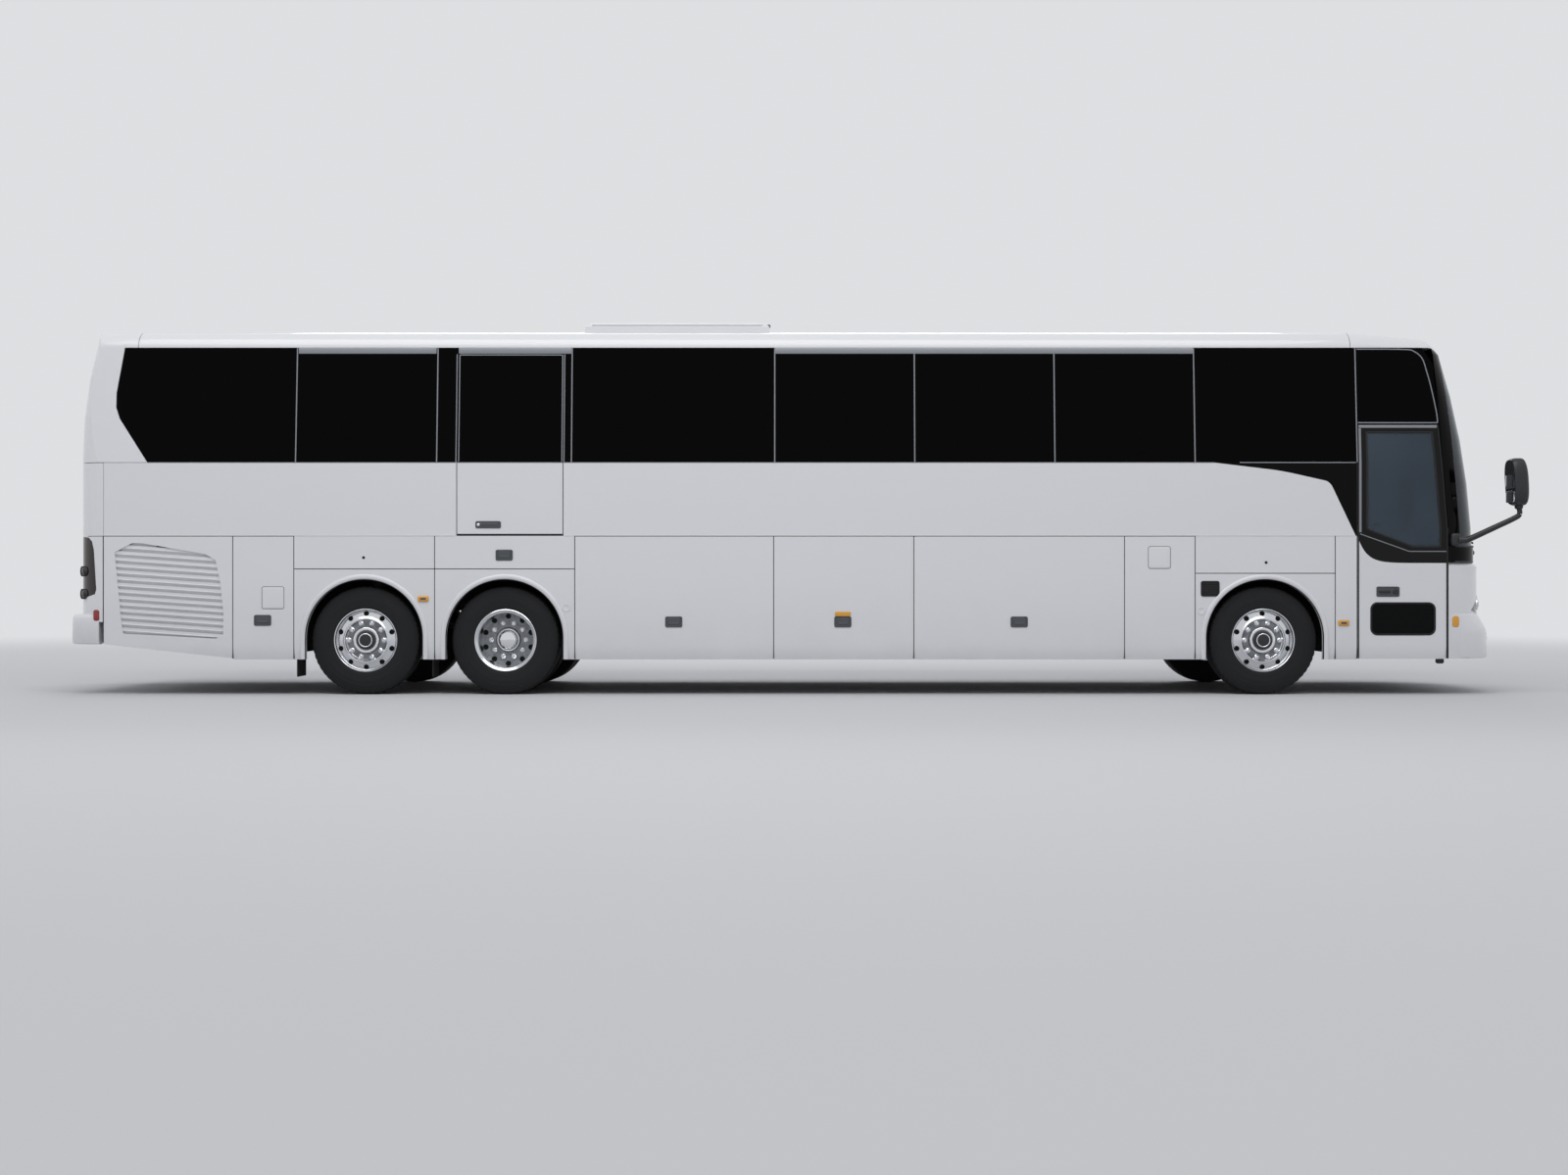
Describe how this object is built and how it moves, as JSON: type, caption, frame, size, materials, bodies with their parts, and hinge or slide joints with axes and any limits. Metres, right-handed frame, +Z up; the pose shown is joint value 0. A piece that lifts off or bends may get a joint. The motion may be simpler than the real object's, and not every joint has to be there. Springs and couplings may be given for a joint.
{
  "type": "coach bus",
  "caption": "High-floor three-axle touring coach with dark wrap-round glazing, hinged luggage flaps, entrance door, lift door, engine lid and steered front wheels.",
  "frame": {"origin": "on the ground, midway along and across the coach", "axes": "+X forward, +Y to the left, +Z up"},
  "size_m": [13.939, 3.22, 3.668],
  "materials": {
    "white_paint": "gloss clear-coated paint",
    "black_trim": "gloss",
    "dark_glass": "deep tinted glass",
    "clear_glass": "lightly tinted glass",
    "lamp_clear": "lens over dark housing",
    "lamp_red": "dark red lens",
    "tyre_rubber": "matt rubber",
    "polished_alloy": "polished",
    "chassis_iron": "satin black",
    "chassis_black": "satin underseal",
    "floor_covering": "matt",
    "seat_fabric": "woven",
    "cab_plastic": "grained",
    "black_plastic": "grained",
    "rubber": "matt"
  },
  "bodies": {
    "body": {"arch_panels": "white_paint", "axles": "chassis_iron", "belt_trim": "black_trim", "bulkheads": "chassis_black", "cab_floor": "floor_covering", "dashboard": "cab_plastic", "engine": "chassis_iron", "front_bumper": "white_paint", "front_cap": "white_paint", "front_fascia": "white_paint", "headlamps": "lamp_clear", "mirrors": "black_plastic", "mudflaps": "rubber", "passenger_floor": "floor_covering", "rear_bumper": "white_paint", "rear_cap": "white_paint", "rear_corners": "white_paint", "rear_wall": "white_paint", "roof_shell": "white_paint", "roof_unit": "white_paint", "seat_backs": "seat_fabric", "seat_cushions": "seat_fabric", "side_glass": "dark_glass", "side_walls": "white_paint", "steering_wheel": "cab_plastic", "tail_lamps": "lamp_red", "underfloor_panels": "chassis_black", "window_posts": "black_trim", "window_rails": "black_trim", "windscreen": "clear_glass", "windscreen_surround": "black_trim"},
    "knuckle_left": {"knuckle_left": "chassis_iron"},
    "knuckle_right": {"knuckle_right": "chassis_iron"},
    "front_wheel_left": {"front_tyre_left": "tyre_rubber", "front_rim_left": "polished_alloy"},
    "front_wheel_right": {"front_tyre_right": "tyre_rubber", "front_rim_right": "polished_alloy"},
    "drive_wheels_left": {"drive_tyre_left": "tyre_rubber", "drive_rim_left": "polished_alloy"},
    "drive_wheels_right": {"drive_tyre_right": "tyre_rubber", "drive_rim_right": "polished_alloy"},
    "tag_wheel_left": {"tag_tyre_left": "tyre_rubber", "tag_rim_left": "polished_alloy"},
    "tag_wheel_right": {"tag_tyre_right": "tyre_rubber", "tag_rim_right": "polished_alloy"},
    "entrance_door": {"entrance_door": "white_paint", "door_glass": "clear_glass"},
    "lift_door": {"lift_door": "white_paint", "lift_door_glass": "dark_glass"},
    "engine_lid": {"engine_lid": "white_paint"},
    "fuel_door_right": {"fuel_door_right": "white_paint"},
    "service_door_right": {"service_door_right": "white_paint"},
    "grille_door_right": {"grille_door_right": "white_paint"},
    "grille_door_left": {"grille_door_left": "white_paint"},
    "luggage_flap_1_left": {"luggage_flap_1_left": "white_paint"},
    "luggage_flap_1_right": {"luggage_flap_1_right": "white_paint"},
    "luggage_flap_2_left": {"luggage_flap_2_left": "white_paint"},
    "luggage_flap_2_right": {"luggage_flap_2_right": "white_paint"},
    "luggage_flap_3_left": {"luggage_flap_3_left": "white_paint"},
    "luggage_flap_3_right": {"luggage_flap_3_right": "white_paint"}
  },
  "joints": [
    {"name": "steer_left", "type": "hinge", "parent": "body", "child": "knuckle_left", "pos_m": [4.54, 0.905, 0.522], "axis": [0, 0, 1], "range_deg": [-42, 42]},
    {"name": "steer_right", "type": "hinge", "parent": "body", "child": "knuckle_right", "pos_m": [4.54, -0.905, 0.522], "axis": [0, 0, 1], "range_deg": [-42, 42]},
    {"name": "front_wheel_left_spin", "type": "hinge", "parent": "knuckle_left", "child": "front_wheel_left", "pos_m": [4.54, 1.098, 0.522], "axis": [0, 1, 0], "continuous": true},
    {"name": "drive_wheels_left_spin", "type": "hinge", "parent": "body", "child": "drive_wheels_left", "pos_m": [-2.75, 1.098, 0.522], "axis": [0, 1, 0], "continuous": true},
    {"name": "tag_wheel_left_spin", "type": "hinge", "parent": "body", "child": "tag_wheel_left", "pos_m": [-4.096, 1.098, 0.522], "axis": [0, 1, 0], "continuous": true},
    {"name": "front_wheel_right_spin", "type": "hinge", "parent": "knuckle_right", "child": "front_wheel_right", "pos_m": [4.54, -1.098, 0.522], "axis": [0, 1, 0], "continuous": true},
    {"name": "drive_wheels_right_spin", "type": "hinge", "parent": "body", "child": "drive_wheels_right", "pos_m": [-2.75, -1.098, 0.522], "axis": [0, 1, 0], "continuous": true},
    {"name": "tag_wheel_right_spin", "type": "hinge", "parent": "body", "child": "tag_wheel_right", "pos_m": [-4.096, -1.098, 0.522], "axis": [0, 1, 0], "continuous": true},
    {"name": "entrance_door_hinge", "type": "hinge", "parent": "body", "child": "entrance_door", "pos_m": [6.298, -1.296, 1.5], "axis": [0, 0, 1], "range_deg": [0, 90]},
    {"name": "lift_door_hinge", "type": "hinge", "parent": "body", "child": "lift_door", "pos_m": [-2.189, -1.296, 2.4], "axis": [0, 0, 1], "range_deg": [0, 95]},
    {"name": "fuel_door_hinge", "type": "hinge", "parent": "body", "child": "fuel_door_right", "pos_m": [3.87, -1.296, 0.93], "axis": [0, 0, 1], "range_deg": [0, 100]},
    {"name": "service_door_hinge", "type": "hinge", "parent": "body", "child": "service_door_right", "pos_m": [-4.772, -1.296, 0.93], "axis": [0, 0, 1], "range_deg": [0, 100]},
    {"name": "grille_door_right_hinge", "type": "hinge", "parent": "body", "child": "grille_door_right", "pos_m": [-6.598, -1.296, 0.93], "axis": [0, 0, -1], "range_deg": [0, 100]},
    {"name": "grille_door_left_hinge", "type": "hinge", "parent": "body", "child": "grille_door_left", "pos_m": [-6.598, 1.296, 0.93], "axis": [0, 0, 1], "range_deg": [0, 100]},
    {"name": "engine_lid_hinge", "type": "hinge", "parent": "body", "child": "engine_lid", "pos_m": [-6.871, 0, 1.966], "axis": [0, 1, 0], "range_deg": [0, 85]},
    {"name": "luggage_flap_1_left_hinge", "type": "hinge", "parent": "body", "child": "luggage_flap_1_left", "pos_m": [-1.1225, 1.296, 1.525], "axis": [1, 0, 0], "range_deg": [0, 95]},
    {"name": "luggage_flap_1_right_hinge", "type": "hinge", "parent": "body", "child": "luggage_flap_1_right", "pos_m": [-1.1225, -1.296, 1.525], "axis": [-1, 0, 0], "range_deg": [0, 95]},
    {"name": "luggage_flap_2_left_hinge", "type": "hinge", "parent": "body", "child": "luggage_flap_2_left", "pos_m": [0.503, 1.296, 1.525], "axis": [1, 0, 0], "range_deg": [0, 95]},
    {"name": "luggage_flap_2_right_hinge", "type": "hinge", "parent": "body", "child": "luggage_flap_2_right", "pos_m": [0.503, -1.296, 1.525], "axis": [-1, 0, 0], "range_deg": [0, 95]},
    {"name": "luggage_flap_3_left_hinge", "type": "hinge", "parent": "body", "child": "luggage_flap_3_left", "pos_m": [2.185, 1.296, 1.525], "axis": [1, 0, 0], "range_deg": [0, 95]},
    {"name": "luggage_flap_3_right_hinge", "type": "hinge", "parent": "body", "child": "luggage_flap_3_right", "pos_m": [2.185, -1.296, 1.525], "axis": [-1, 0, 0], "range_deg": [0, 95]}
  ],
  "couplings": [
    {"joint": "steer_right", "follows": "steer_left", "ratio": 1}
  ]
}
